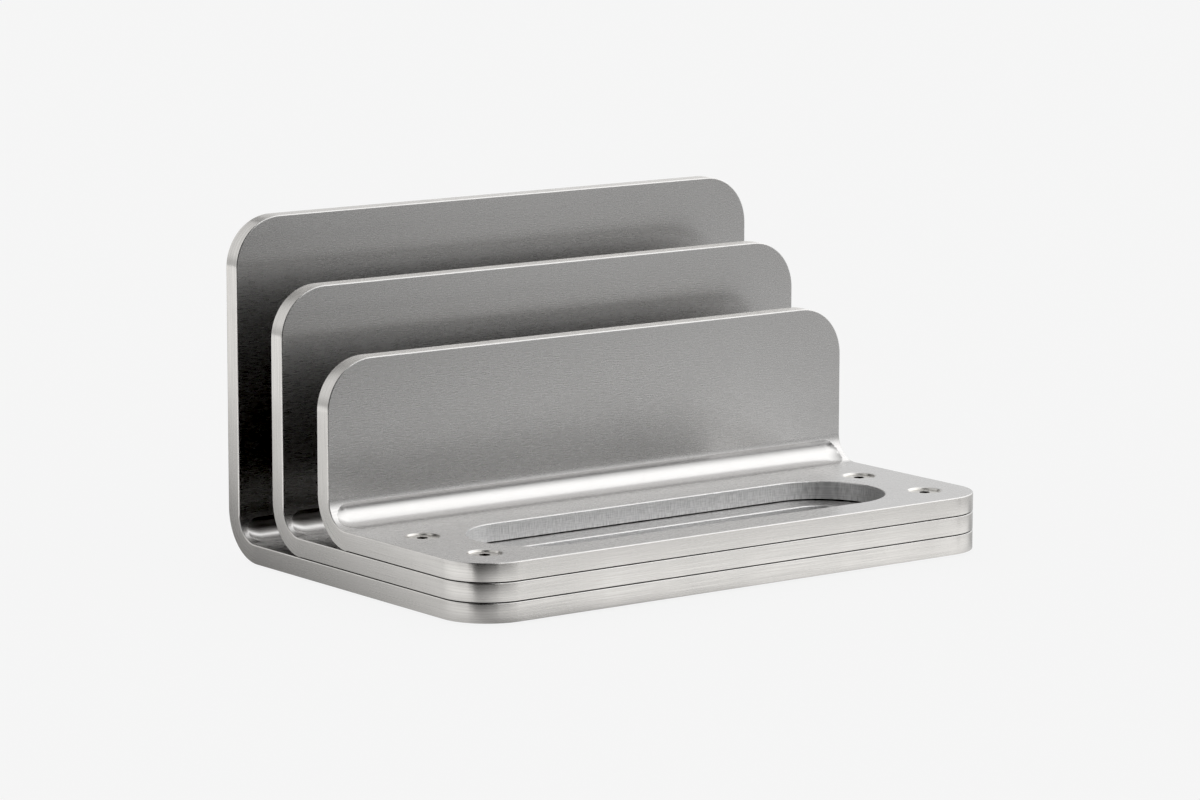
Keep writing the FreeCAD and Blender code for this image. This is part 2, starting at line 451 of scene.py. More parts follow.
# Screws from the lathe and holes from the drill: bright cones that glint, with faint rings.
TURNED = "turned_stainless"

# Broached steel painted nearly black as painted shade, so that the sockets read as deep holes.
SOCKET_SHADE = "socket_painted_shade_steel"

# Nitrile rubber from a mould: matt and dark, so that the feet vanish in the shadow below the steel.
RUBBER = "moulded_rubber"


def new_material(name):
    """A material without nodes."""
    material = bpy.data.materials.new(name)
    material.use_nodes = True
    material.node_tree.nodes.clear()
    return material


def add(material, kind, links=None, inputs=None, **settings):
    """Adds a node: links from sockets or from nodes' first outputs, constants on inputs, and settings."""
    node = material.node_tree.nodes.new(kind)
    for key, value in settings.items():
        setattr(node, key, value)
    for key, value in (inputs or {}).items():
        node.inputs[key].default_value = value
    for key, source in (links or {}).items():
        socket = source.outputs[0] if isinstance(source, bpy.types.Node) else source
        material.node_tree.links.new(socket, node.inputs[key])
    return node


def toned(colour, share):
    """A colour made darker or paler, as a node takes it."""
    return (*(min(channel * share, 1) for channel in colour), 1)


def corner_crown(material, grain):
    """A height that swells over the middle of a rim, round the leaves' front corners only."""
    sizes = bpy.context.scene.sorter_sizes
    place = add(material, "ShaderNodeSeparateXYZ", {"Vector": grain})
    # from -1 at one edge of the rim to 1 at the other, then squared
    off = add(
        material,
        "ShaderNodeMapRange",
        {"Value": place.outputs["Y"]},
        {"From Max": leaf_thickness(), "To Min": -1, "To Max": 1},
    )
    square = add(material, "ShaderNodeMath", {0: off, 1: off}, operation="MULTIPLY")
    dome = add(material, "ShaderNodeMath", {1: square}, {0: 1}, operation="SUBTRACT")
    # how far along the rim a place is from the middle of a corner's arc, on either side
    side = add(material, "ShaderNodeMath", {0: place.outputs["X"]}, operation="ABSOLUTE")
    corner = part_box(PLATES[0])[1].x - sizes.corner_radius + sizes.corner_radius * math.pi / 4
    away = add(material, "ShaderNodeMath", {0: side}, {1: corner}, operation="SUBTRACT")
    distance = add(material, "ShaderNodeMath", {0: away}, operation="ABSOLUTE")
    near = add(
        material,
        "ShaderNodeMapRange",
        {"Value": distance},
        {"From Min": sizes.corner_radius, "From Max": sizes.corner_radius / 3},
        interpolation_type="SMOOTHSTEP",
    )
    return add(material, "ShaderNodeMath", {0: dome, 1: near}, operation="MULTIPLY")


def steel_material(name, colour, roughness, anisotropy, streak, streak_length, depth, swing, crown=0):
    """Stainless steel with fine scratches along the grain map's U.

    streak and streak_length are a scratch's width and length in metres, depth is how deep it reads, and
    swing how much the roughness and the colour vary from scratch to scratch. crown is how far the middle of
    a rim stands out over its edges, in metres, at the leaves' front corners.
    """
    cloud_size = 14 * MM  # patches where the brushing took more or less
    cloud_share = 0.25
    usual = {"From Min": 0.3, "From Max": 0.7}  # nearly all of a noise lies between these
    quarter_turn = 0.25  # because the scratches scatter the light across themselves
    material = new_material(name)
    grain = add(material, "ShaderNodeUVMap", uv_map=GRAIN_MAP)
    stretch = (1 / streak_length, 1 / streak, 1)
    along = add(material, "ShaderNodeMapping", {"Vector": grain}, {"Scale": stretch})
    fine = add(
        material,
        "ShaderNodeTexNoise",
        {"Vector": along},
        {"Scale": 1, "Detail": 2},
        noise_dimensions="2D",
    )
    cloud = add(
        material,
        "ShaderNodeTexNoise",
        {"Vector": grain},
        {"Scale": 1 / cloud_size, "Detail": 3, "Roughness": 0.55},
        noise_dimensions="2D",
    )
    both = add(material, "ShaderNodeMix", {"A": fine, "B": cloud}, {"Factor": cloud_share})
    rough = add(
        material,
        "ShaderNodeMapRange",
        {"Value": both},
        {**usual, "To Min": roughness - swing / 4, "To Max": roughness + swing / 4},
    )
    shade = add(material, "ShaderNodeMapRange", {"Value": both}, usual)
    tint = add(
        material,
        "ShaderNodeMix",
        {"Factor": shade},
        {"A": toned(colour, 1 + swing / 2), "B": toned(colour, 1 - swing / 2)},
        data_type="RGBA",
    )
    bump = add(material, "ShaderNodeBump", {"Height": fine}, {"Strength": 1, "Distance": depth})
    if crown:
        bump = add(
            material,
            "ShaderNodeBump",
            {"Height": corner_crown(material, grain), "Normal": bump},
            {"Strength": 1, "Distance": crown},
        )
    tangent = add(material, "ShaderNodeTangent", direction_type="UV_MAP", uv_map=GRAIN_MAP)
    surface = add(
        material,
        "ShaderNodeBsdfPrincipled",
        {"Base Color": tint.outputs["Result"], "Roughness": rough, "Normal": bump, "Tangent": tangent},
        {"Metallic": 1, "Anisotropic": anisotropy, "Anisotropic Rotation": quarter_turn},
    )
    add(material, "ShaderNodeOutputMaterial", {"Surface": surface})


def sheet_materials(finish):
    """The sheet's three finishes.

    Real brushing and grinding leave scratches a few hundredths of a millimetre wide, too fine for the
    render, so they are drawn 0.25 and 0.3 mm wide.
    """
    brushed = {"anisotropy": 0.55, "streak": 0.25 * MM, "streak_length": 4 * MM}
    ground = {"anisotropy": 0.95, "streak": 0.3 * MM, "streak_length": 30 * MM}
    plate, rim = finish.plate_colour, finish.rim_colour
    steel_material(SHEET, plate, roughness=0.275, depth=0.0003 * MM, swing=0.12, **brushed)
    steel_material(BEND, plate, roughness=0.22, depth=0.0005 * MM, swing=0.05, **brushed)
    steel_material(RIM, rim, roughness=0.25, depth=0.0005 * MM, swing=0.17, crown=0.2 * MM, **ground)


def turned_material(colour):
    """Stainless steel with rings about the axis of a screw or a hole.

    Real rings lie some 0.05 mm apart, too close for the render, so they are drawn 0.25 mm apart.
    """
    ring_pitch = 0.25 * MM
    ring_depth = 0.02 * MM
    ring_strength = 0.5
    smoothest, roughest = 0.16, 0.26
    material = new_material(TURNED)
    plan = add(material, "ShaderNodeUVMap", uv_map=GRAIN_MAP)
    radius = add(material, "ShaderNodeVectorMath", {"Vector": plan}, operation="LENGTH")
    rings = add(
        material,
        "ShaderNodeTexNoise",
        {"W": radius.outputs["Value"]},
        {"Scale": 1 / ring_pitch, "Detail": 1},
        noise_dimensions="1D",
    )
    relief = {"Strength": ring_strength, "Distance": ring_depth}
    bump = add(material, "ShaderNodeBump", {"Height": rings}, relief)
    dullness = {"To Min": smoothest, "To Max": roughest}
    rough = add(material, "ShaderNodeMapRange", {"Value": rings}, dullness)
    steel = {"Base Color": (*colour, 1), "Metallic": 1}
    surface = add(material, "ShaderNodeBsdfPrincipled", {"Roughness": rough, "Normal": bump}, steel)
    add(material, "ShaderNodeOutputMaterial", {"Surface": surface})


def wall_material(colour):
    """Stainless steel with a cutting beam's upright striations and the level bands that cross them.

    Real striations are about 0.1 mm wide, too fine for the render, so they are drawn 0.25 mm wide.
    """
    striation, striation_length = 0.25 * MM, 3 * MM
    band, band_length = 0.25 * MM, 4 * MM
    band_share = 0.4
    striation_depth = 0.03 * MM
    darkest, palest = 0.8, 1.15
    roughness = 0.55
    usual = {"From Min": 0.35, "From Max": 0.65}  # nearly all of the two noises' mix lies between these
    material = new_material(WALL)
    wall = add(material, "ShaderNodeUVMap", uv_map=GRAIN_MAP)
    patterns = []
    for along, up in ((striation, striation_length), (band_length, band)):
        stretch = (1 / along, 1 / up, 1)
        stretched = add(material, "ShaderNodeMapping", {"Vector": wall}, {"Scale": stretch})
        pattern = add(
            material,
            "ShaderNodeTexNoise",
            {"Vector": stretched},
            {"Scale": 1, "Detail": 1},
            noise_dimensions="2D",
        )
        patterns.append(pattern)
    both = add(material, "ShaderNodeMix", {"A": patterns[0], "B": patterns[1]}, {"Factor": band_share})
    shade = add(material, "ShaderNodeMapRange", {"Value": both}, usual)
    tint = add(
        material,
        "ShaderNodeMix",
        {"Factor": shade},
        {"A": toned(colour, darkest), "B": toned(colour, palest)},
        data_type="RGBA",
    )
    relief = {"Strength": 1, "Distance": striation_depth}
    bump = add(material, "ShaderNodeBump", {"Height": both}, relief)
    surface = add(
        material,
        "ShaderNodeBsdfPrincipled",
        {"Base Color": tint.outputs["Result"], "Normal": bump},
        {"Metallic": 1, "Roughness": roughness},
    )
    add(material, "ShaderNodeOutputMaterial", {"Surface": surface})


def socket_shade_material(colour):
    """Plain steel whose near-black colour is painted shade, standing in for the depth of the sockets."""
    material = new_material(SOCKET_SHADE)
    steel = {"Base Color": (*colour, 1), "Metallic": 1, "Roughness": 0.4}
    surface = add(material, "ShaderNodeBsdfPrincipled", inputs=steel)
    add(material, "ShaderNodeOutputMaterial", {"Surface": surface})


def rubber_material(colour):
    """Rubber with the grain of its mould.

    Real mould grain is about 0.1 mm wide, too fine for the render, so it is drawn 0.5 mm wide.
    """
    grain_size = 0.5 * MM
    grain_depth = 0.05 * MM
    grain_strength = 0.4
    smoothest, roughest = 0.65, 0.85
    material = new_material(RUBBER)
    place = add(material, "ShaderNodeTexCoord")
    grain = add(
        material,
        "ShaderNodeTexNoise",
        {"Vector": place.outputs["Object"]},
        {"Scale": 1 / grain_size, "Detail": 2},
    )
    relief = {"Strength": grain_strength, "Distance": grain_depth}
    bump = add(material, "ShaderNodeBump", {"Height": grain}, relief)
    dullness = {"To Min": smoothest, "To Max": roughest}
    rough = add(material, "ShaderNodeMapRange", {"Value": grain}, dullness)
    rubber = {"Base Color": (*colour, 1)}
    surface = add(material, "ShaderNodeBsdfPrincipled", {"Roughness": rough, "Normal": bump}, rubber)
    add(material, "ShaderNodeOutputMaterial", {"Surface": surface})


# Plates


BEND_SEGMENTS = 24
CORNER_SEGMENTS = 24
WELL_SEGMENTS = 28
EDGE_SEGMENTS = 3
TOOL_RINGS = 33  # an odd number leaves a band across the tool's middle, which is stretched to its length
TOOL_SINK = 0.02 * MM  # how far the tool's underside reaches below the leaf's top
TOOL_END_STRETCH = 1.6  # makes the tool's ends longer than half a ball
TOOL_FRONT_STRETCH = 5  # makes the mark run out softly over the leaf
FLAT_ANGLE = math.radians(1)  # faces that meet at less lie in one plane
SHARP_ANGLE = math.radians(40)  # edges sharper than this are eased
PLATE_SMOOTH_ANGLE = math.radians(35)  # faces of a plate that meet at less are shaded as one
LARGE_FACES_FIRST = 100  # large faces stay flat, and the shading turns on the narrow eased edges


def leaf_thickness():
    """The sheet's thickness, which is how far one plate stands above the next."""
    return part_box("middle_plate")[0].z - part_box("rear_plate")[0].z


def screw_centres():
    """Each screw's axis on the plan."""
    return [plan_centre(name) for name in SCREWS]


def bend_blank(name, sizes):
    """A leaf with its flange: extruded from a box, bent by rounding both edges, sides closed in strips."""
    low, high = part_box(name)
    wall = leaf_thickness()
    piece = new_box(f"{name}_dressed", low, (high.x, high.y - wall, low.z + wall))
    with editing(piece):
        pick("FACE", lambda face: face.normal.y > FLAT_LIMIT)
        extrude(y=wall)
        pick("FACE", lambda face: face.normal.z > FLAT_LIMIT and middle(face).y > high.y - wall)
        extrude(z=high.z - low.z - wall)
        bpy.ops.mesh.select_all(action="SELECT")
        bpy.ops.mesh.dissolve_limited(angle_limit=FLAT_ANGLE)
        pick("EDGE", lambda edge: all_near(edge, y=high.y - wall, z=low.z + wall))
        round_edges(sizes.bend_inner_radius, BEND_SEGMENTS)
        pick("EDGE", lambda edge: all_near(edge, y=high.y, z=low.z))
        round_edges(sizes.bend_outer_radius, BEND_SEGMENTS)
        close_sides(low, high, sizes)
        pick("EDGE", lambda edge: any(all_near(edge, x=x, y=low.y) for x in (low.x, high.x)))
        round_edges(sizes.corner_radius, CORNER_SEGMENTS)
        pick("EDGE", lambda edge: any(all_near(edge, x=x, z=high.z) for x in (low.x, high.x)))
        round_edges(sizes.flange_corner_radius, CORNER_SEGMENTS)
    return piece


def close_sides(low, high, sizes):
    """Replaces each side face by a strip of quads round the bend, a leaf end and a flange end."""
    wall = leaf_thickness()
    inner, outer = sizes.bend_inner_radius, sizes.bend_outer_radius
    arcs = (
        (high.y - outer, low.z + outer, outer),
        (high.y - wall - inner, low.z + wall + inner, inner),
    )

    def on_bend(vertex):
        for y, z, radius in arcs:
            reach = Vector((vertex.co.y - y, vertex.co.z - z))
            if reach.x > -NEAR and reach.y < NEAR and abs(reach.length - radius) < NEAR:
                return True
        return False

    pick("FACE", lambda face: abs(face.normal.x) > FLAT_LIMIT)
    bpy.ops.mesh.delete(type="ONLY_FACE")
    for side in (low.x, high.x):
        pick("EDGE", lambda edge: all_near(edge, x=side) and all(map(on_bend, edge.verts)))
        bpy.ops.mesh.bridge_edge_loops()
    bpy.ops.mesh.select_all(action="SELECT")
    bpy.ops.mesh.fill_holes(sides=0)
    bpy.ops.mesh.normals_make_consistent(inside=False)


def open_seam(piece, level, sizes):
    """Lifts the rim of a leaf's underside a little, so that a narrow dark gap shows over the leaf below."""
    with editing(piece):
        pick("FACE", lambda face: face.normal.z < -FLAT_LIMIT and all_near(face, z=level))
        bpy.ops.mesh.inset(thickness=sizes.seam_reach)
        mesh = bmesh.from_edit_mesh(piece.data)
        resting = {vertex.index for vertex in mesh.verts if vertex.select}
        pick("VERT", lambda vertex: abs(vertex.co.z - level) < NEAR and vertex.index not in resting)
        bpy.ops.transform.translate(value=(0, 0, sizes.seam_height))


def tool_axis(low, high, sizes):
    """Where the round tool's axis crosses the plate's middle."""
    wall = leaf_thickness()
    return Vector((0, high.y - wall - sizes.tool_offset, low.z + wall + sizes.tool_radius - TOOL_SINK))


def press_bend(piece, low, high, sizes):
    """Sinks the round tool's mark into the inner bend.

    The mark has a crisp edge on the flange, runs out softly on the leaf, and ends short of the sides.
    """
    axis = tool_axis(low, high, sizes)
    reach = high.x - sizes.tool_margin
    bpy.ops.object.select_all(action="DESELECT")
    bpy.ops.mesh.primitive_uv_sphere_add(
        segments=4 * BEND_SEGMENTS,
        ring_count=TOOL_RINGS,
        radius=sizes.tool_radius,
        location=axis,
        rotation=(0, math.pi / 2, 0),
    )
    tool = named("bend_tool")
    with editing(tool):
        bpy.ops.mesh.select_all(action="SELECT")
        bpy.ops.transform.resize(value=(TOOL_END_STRETCH, 1, 1), center_override=axis)
        pick("VERT", lambda vertex: vertex.co.y < axis.y - NEAR)
        bpy.ops.transform.resize(value=(1, TOOL_FRONT_STRETCH, 1), center_override=axis)
        for side in (-1, 1):
            pick("VERT", lambda vertex: side * vertex.co.x > 0 and abs(vertex.co.x) < reach / 2)
            bpy.ops.transform.translate(value=(side * reach, 0, 0))
    cut(piece, tool, BEND)


def mark_step(piece, level):
    """Keeps the crisp upper edge of the tool's mark from being shaded smooth."""
    bend = piece.data.materials.find(BEND)
    with editing(piece):
        pick(
            "EDGE",
            lambda edge: middle(edge).z > level
            and len(edge.link_faces) == 2
            and [face.material_index for face in edge.link_faces].count(bend) == 1,
        )
        bpy.ops.mesh.mark_sharp()


def well_cutter(half_length, half_width, centre_y, low, high):
    """A slot with round ends, standing through a leaf."""
    corner = Vector((half_length, half_width, 0))
    middle_low, middle_high = Vector((0, centre_y, low)), Vector((0, centre_y, high))
    cutter = new_box("well_cutter", middle_low - corner, middle_high + corner)
    with editing(cutter):
        pick("EDGE", lambda edge: abs(edge.verts[0].co.z - edge.verts[1].co.z) > NEAR)
        round_edges(half_width, WELL_SEGMENTS)
        bpy.ops.mesh.select_all(action="SELECT")
        bpy.ops.mesh.remove_doubles(threshold=NEAR)
    return cutter


def cut_well(piece, tier, low, sizes):
    """Cuts the well through a leaf, then the seam round its foot, which is wider by the seam's reach."""
    centres = screw_centres()
    inset = (len(PLATES) - 1 - tier) * sizes.ledge_width
    half_length = max(x for x, _ in centres) - sizes.well_end_gap - inset
    half_width = sizes.well_width / 2 - inset
    centre_y = sum(y for _, y in centres) / len(centres)
    bottom = low.z - OVERRUN
    through = low.z + leaf_thickness() + OVERRUN
    for wider, level in ((0, through), (sizes.seam_reach, low.z + sizes.seam_height)):
        cutter = well_cutter(half_length + wider, half_width + wider, centre_y, bottom, level)
        cut(piece, cutter, WALL)


def countersink_cutter(centre, radius, low, face_level, sizes):
    """A drill's shape with a right-angled cone on it, in which the screw's head lies sunk."""
    head_low, head_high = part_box(SCREWS[0])
    mouth = (head_high.x - head_low.x) / 2 + (face_level - head_high.z) + sizes.head_land
    widest = mouth + OVERRUN
    cutter = new_cylinder("hole_cutter", centre, radius, low, face_level - (mouth - radius))
    with editing(cutter):
        pick("FACE", lambda face: face.normal.z > FLAT_LIMIT)
        extrude(z=widest - radius)
        widen(centre, widest / radius)
    return cutter


def drill_holes(piece, tier, low, sizes):
    """Drills the screws' holes: to size in the lowest leaf, with play above it, countersunk on top."""
    face_level = low.z + leaf_thickness()
    bottom = low.z - OVERRUN
    radius = sizes.shank_diameter / 2 + (sizes.shank_clearance if tier > 0 else 0)
    for centre in screw_centres():
        if tier == len(PLATES) - 1:
            cutter = countersink_cutter(centre, radius, bottom, face_level, sizes)
        else:
            cutter = new_cylinder("hole_cutter", centre, radius, bottom, face_level + OVERRUN)
        cut(piece, cutter, TURNED)


def edge_share(edge, low, high, sizes):
    """How much of the full rounding a sharp edge gets: little round the underside, more up the bend."""
    foot = low.z + sizes.seam_height + NEAR
    crisp = sizes.lower_edge_rounding / sizes.edge_rounding
    if max(vertex.co.z for vertex in edge.verts) < foot:
        return crisp
    bend = sizes.bend_outer_radius
    place = middle(edge)
    reach = Vector((place.y - high.y + bend, place.z - low.z - bend))
    if reach.x > 0 > reach.y and reach.length > bend - sizes.edge_rounding:
        return crisp + (1 - crisp) * math.atan2(reach.x, -reach.y) / (math.pi / 2)
    return 1


def ease_edges(piece, low, high, sizes):
    """Rounds all sharp edges, each by its share."""
    with editing(piece):
        bpy.ops.mesh.select_mode(type="EDGE")
        bpy.ops.mesh.select_all(action="DESELECT")
        bpy.ops.mesh.edges_select_sharp(sharpness=SHARP_ANGLE)
        mesh = bmesh.from_edit_mesh(piece.data)
        weight = mesh.edges.layers.float.new("bevel_weight_edge")
        for edge in mesh.edges:
            if edge.select:
                edge[weight] = edge_share(edge, low, high, sizes)
        bmesh.update_edit_mesh(piece.data)
    modify(
        piece,
        "BEVEL",
        width=sizes.edge_rounding,
        segments=EDGE_SEGMENTS,
        limit_method="WEIGHT",
        use_clamp_overlap=False,
    )
    only(piece)
    bpy.ops.object.shade_smooth_by_angle(angle=PLATE_SMOOTH_ANGLE)
    mark_step(piece, tool_axis(low, high, sizes).z)
    modify(piece, "WEIGHTED_NORMAL", keep_sharp=True, weight=LARGE_FACES_FIRST)


def rim_place(point, low, high, sizes):
    """Where a point of a plate's rim lies, along the unrolled rim and across it.

    The way along starts in the middle of the leaf's front and goes round the corner, back along the side,
    round the bend, up the flange, round its corner and along its top. It is negative on the left.
    """
    x, y, z = point
    side = math.copysign(1, x)
    corner, flange_corner, bend = sizes.corner_radius, sizes.flange_corner_radius, sizes.bend_outer_radius
    straight = high.x - corner
    leaf_side = straight + corner * math.pi / 2
    bend_start = leaf_side + (high.y - bend) - (low.y + corner)
    flange_side = bend_start + bend * math.pi / 2
    if z < low.z + bend and y < high.y - bend:
        across = z - low.z
        if abs(x) < straight:
            return side * abs(x), across
        if y < low.y + corner:
            turn = math.atan2(abs(x) - straight, low.y + corner - y)
            return side * (straight + corner * turn), across
        return side * (leaf_side + y - low.y - corner), across
    if z < low.z + bend:
        reach = Vector((y - high.y + bend, z - low.z - bend))
        return side * (bend_start + bend * math.atan2(reach.x, -reach.y)), bend - reach.length
    across = high.y - y
    if z < high.z - flange_corner:
        return side * (flange_side + z - low.z - bend), across
    corner_start = flange_side + high.z - flange_corner - low.z - bend
    if abs(x) > high.x - flange_corner:
        turn = math.atan2(z - high.z + flange_corner, abs(x) - high.x + flange_corner)
        return side * (corner_start + flange_corner * turn), across
    corner_end = corner_start + flange_corner * math.pi / 2
    return side * (corner_end + high.x - flange_corner - abs(x)), across


def is_rim(face, low, high, sizes):
    """True for a face of the plate's cut outline."""
    bend = sizes.bend_outer_radius
    if abs(face.normal.x) > FLAT_LIMIT:
        return True
    if face.center.z > low.z + bend:
        return abs(face.normal.y) < FLAT_LIMIT
    return face.center.y < high.y - bend and abs(face.normal.z) < FLAT_LIMIT


def lay_grain(piece, low, high, sizes):
    """Fills the grain map, and gives the faces of the outline the rim's material."""
    mesh = piece.data
    grain = mesh.uv_layers.new(name=GRAIN_MAP)
    sheet, rim, wall, turned = (mesh.materials.find(name) for name in (SHEET, RIM, WALL, TURNED))
    centres = [Vector(centre) for centre in screw_centres()]
    for face in mesh.polygons:
        if face.material_index == sheet and is_rim(face, low, high, sizes):
            face.material_index = rim
        for loop in face.loop_indices:
            point = mesh.vertices[mesh.loops[loop].vertex_index].co
            if face.material_index == rim:
                place = rim_place(point, low, high, sizes)
            elif face.material_index == wall:
                place = (point.x + point.y, point.z)
            elif face.material_index == turned:
                place = point.xy - min(centres, key=lambda centre: (face.center.xy - centre).length)
            else:
                place = (point.x, point.y + point.z)
            grain.data[loop].uv = place


def make_plate(name, tier, sizes):
    """Models one bent plate in place of its CAD node. The tiers count from the lowest leaf, which is 0."""
    low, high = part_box(name)
    piece = bend_blank(name, sizes)
    if tier > 0:
        open_seam(piece, low.z, sizes)
    give_materials(piece, SHEET, RIM, WALL, TURNED, BEND)
    press_bend(piece, low, high, sizes)
    if tier > 0:
        cut_well(piece, tier, low, sizes)
    drill_holes(piece, tier, low, sizes)
    ease_edges(piece, low, high, sizes)
    lay_grain(piece, low, high, sizes)
    finish_piece(piece, "plate_steel", name)


class SORTER_OT_add_plates(bpy.types.Operator):
    """Add the three bent plates of brushed stainless steel"""

    bl_idname = "sorter.add_plates"
    bl_label = "Add Plates"

    def execute(self, context):
        finish = context.scene.sorter_finish
        sheet_materials(finish)
        wall_material(finish.wall_colour)
        turned_material(finish.screw_colour)
        for tier, name in enumerate(PLATES):
            make_plate(name, tier, context.scene.sorter_sizes)
        return {"FINISHED"}


# Screws


TIP_CHAMFER = 0.6 * MM
HEAD_ROUNDING = 0.07 * MM  # less than the head's land
HEAD_SEGMENTS = 3
SOCKET_CHAMFER = 0.1 * MM
HEXAGON_SIDES = 6


def socket_cutter(centre, level, sizes):
    """The hexagon of a socket, with a chamfer where it opens."""
    corner = sizes.socket_width / 2 / math.cos(math.pi / HEXAGON_SIDES)
    turn = math.pi / HEXAGON_SIDES
    bottom = level - sizes.socket_depth
    cutter = new_cylinder("socket_cutter", centre, corner, bottom, level, HEXAGON_SIDES, turn)
    with editing(cutter):
        pick("FACE", lambda face: face.normal.z > FLAT_LIMIT)
        bpy.ops.transform.translate(value=(0, 0, -SOCKET_CHAMFER))
        extrude(z=2 * SOCKET_CHAMFER)
        widen(centre, 1 + 2 * SOCKET_CHAMFER / corner)
    return cutter


def lay_plan(piece, centre):
    """Fills the grain map with places on the plan, counted from the piece's axis."""
    grain = piece.data.uv_layers.new(name=GRAIN_MAP)
    for loop in piece.data.loops:
        point = piece.data.vertices[loop.vertex_index].co
        grain.data[loop.index].uv = (point.x - centre[0], point.y - centre[1])


def make_screw(name, sizes):
    """Turns a countersunk screw: shank, cone and land, then the hexagon socket."""
    low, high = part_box(name)
    centre = plan_centre(name)
    head, shank = (high.x - low.x) / 2, sizes.shank_diameter / 2
    cone_foot = high.z - sizes.head_land - (head - shank)
    piece = new_cylinder(f"{name}_dressed", centre, shank, low.z, cone_foot)
    give_materials(piece, TURNED, SOCKET_SHADE)
    with editing(piece):
        pick("FACE", lambda face: face.normal.z > FLAT_LIMIT)
        extrude(z=head - shank)
        widen(centre, head / shank)
        extrude(z=sizes.head_land)
        pick("EDGE", lambda edge: all_near(edge, z=high.z))
        round_edges(HEAD_ROUNDING, HEAD_SEGMENTS)
        pick("EDGE", lambda edge: all_near(edge, z=low.z))
        round_edges(TIP_CHAMFER, 1)
    # the socket's walls take the painted shade
    cut(piece, socket_cutter(centre, high.z, sizes), SOCKET_SHADE)
    only(piece)
    bpy.ops.object.shade_smooth_by_angle(angle=SMOOTH_ANGLE)
    lay_plan(piece, centre)
    finish_piece(piece, "screw_steel", name)


class SORTER_OT_add_screws(bpy.types.Operator):
    """Add the four countersunk screws with hexagon sockets"""

    bl_idname = "sorter.add_screws"
    bl_label = "Add Screws"

    def execute(self, context):
        socket_shade_material(context.scene.sorter_finish.socket_shade_colour)
        for name in SCREWS:
            make_screw(name, context.scene.sorter_sizes)
        return {"FINISHED"}


# Feet


FOOT_ROUNDING = 0.3 * MM
FOOT_SEGMENTS = 4
FOOT_RING = 1.5 * MM  # width of the ring that a foot stands on
FOOT_DIMPLE = 0.2 * MM  # depth of the dimple inside it


def make_foot(name):
    """A moulded pad: rounded lower rim, and a shallow dimple that leaves a ring to stand on."""
    low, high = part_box(name)
    piece = new_cylinder(f"{name}_dressed", plan_centre(name), (high.x - low.x) / 2, low.z, high.z)
    with editing(piece):
        pick("EDGE", lambda edge: all_near(edge, z=low.z))
        round_edges(FOOT_ROUNDING, FOOT_SEGMENTS)
        pick("FACE", lambda face: all_near(face, z=low.z))
        bpy.ops.mesh.inset(thickness=FOOT_RING)
        bpy.ops.mesh.inset(thickness=FOOT_DIMPLE, depth=-FOOT_DIMPLE)
    give_materials(piece, RUBBER)
    only(piece)
    bpy.ops.object.shade_smooth_by_angle(angle=SMOOTH_ANGLE)
    finish_piece(piece, "foot_rubber", name)


class SORTER_OT_add_feet(bpy.types.Operator):
    """Add the four rubber feet"""

    bl_idname = "sorter.add_feet"
    bl_label = "Add Feet"

    def execute(self, context):
        rubber_material(context.scene.sorter_finish.foot_colour)
        for name in FEET:
            make_foot(name)
        return {"FINISHED"}


# Studio


FLOOR_SIZE = 16  # metres
FRAME_WIDTH = 36  # millimetres, on which the camera's lens is counted
BLACK_POINT = 0.011  # pulls the picture's blacks down, as product pictures usually are
CARD_LIFT = 0.05 * MM  # from the floor to a card, and from one card to the next


def add_floor(studio):
    """A floor of matt white plastic, lit mostly from below like a light table, so that shadows are faint."""
    bpy.ops.object.select_all(action="DESELECT")
    bpy.ops.mesh.primitive_plane_add(size=FLOOR_SIZE)
    floor = bpy.context.object
    floor.name = "floor"
    material = new_material("pale_floor")
    surface = add(
        material,
        "ShaderNodeBsdfPrincipled",
        inputs={
            "Base Color": toned(studio.surround_colour, 1 - studio.floor_glow),
            "Roughness": 1,
            "Specular IOR Level": 0,
            "Emission Color": (*studio.surround_colour, 1),
            "Emission Strength": studio.floor_glow,
        },
    )
    add(material, "ShaderNodeOutputMaterial", {"Surface": surface})
    floor.data.materials.append(material)


def soft_material(name, glow, size, feather):
    """A card's front: an even glow that fades out towards the card's edges, over a feather in metres."""
    half = 0.5
    material = new_material(name)
    place = add(material, "ShaderNodeTexCoord")
    sides = add(material, "ShaderNodeSeparateXYZ", {"Vector": place.outputs["UV"]})
    fades = []
    for axis in range(2):
        # 0 at both edges of the card and a half in its middle
        inside = add(material, "ShaderNodeMath", {0: sides.outputs[axis]}, {1: half}, operation="PINGPONG")
        fade = add(
            material,
            "ShaderNodeMapRange",
            {"Value": inside},
            {"From Max": feather[axis] / size[axis]},
            interpolation_type="SMOOTHSTEP",
        )
        fades.append(fade)
    cover = add(material, "ShaderNodeMath", {0: fades[0], 1: fades[1]}, operation="MULTIPLY")
    clear = add(material, "ShaderNodeBsdfTransparent")
    light = add(material, "ShaderNodeEmission", inputs={"Strength": glow})
    mix = add(material, "ShaderNodeMixShader", {0: cover, 1: clear, 2: light})
    add(material, "ShaderNodeOutputMaterial", {"Surface": mix})
    return material


def add_card(name, place, turn, size, feather, glow):
    """A soft-edged card that shows only in the steel: a softbox if it glows, a black flag if it doesn't."""
    bpy.ops.object.select_all(action="DESELECT")
    bpy.ops.mesh.primitive_plane_add(size=1, location=place, rotation=turn)
    card = bpy.context.object
    card.name = name
    card.scale = (*size, 1)
    settle(card)
    card.data.materials.append(soft_material(name, glow, size, feather))
    card.visible_camera = False
    card.visible_diffuse = False


def hang_card(name, azimuth, elevation, distance, size, feather, glow):
    """A card that hangs round the sorter and faces it.

    The angles are in degrees, and the azimuth counts from the front to the right. Lengths are in metres.
    """
    turn, lift = math.radians(azimuth), math.radians(elevation)
    outward = Vector((math.sin(turn) * math.cos(lift), -math.cos(turn) * math.cos(lift), math.sin(lift)))
    add_card(name, outward * distance, (math.pi / 2 - lift, 0, turn), size, feather, glow)


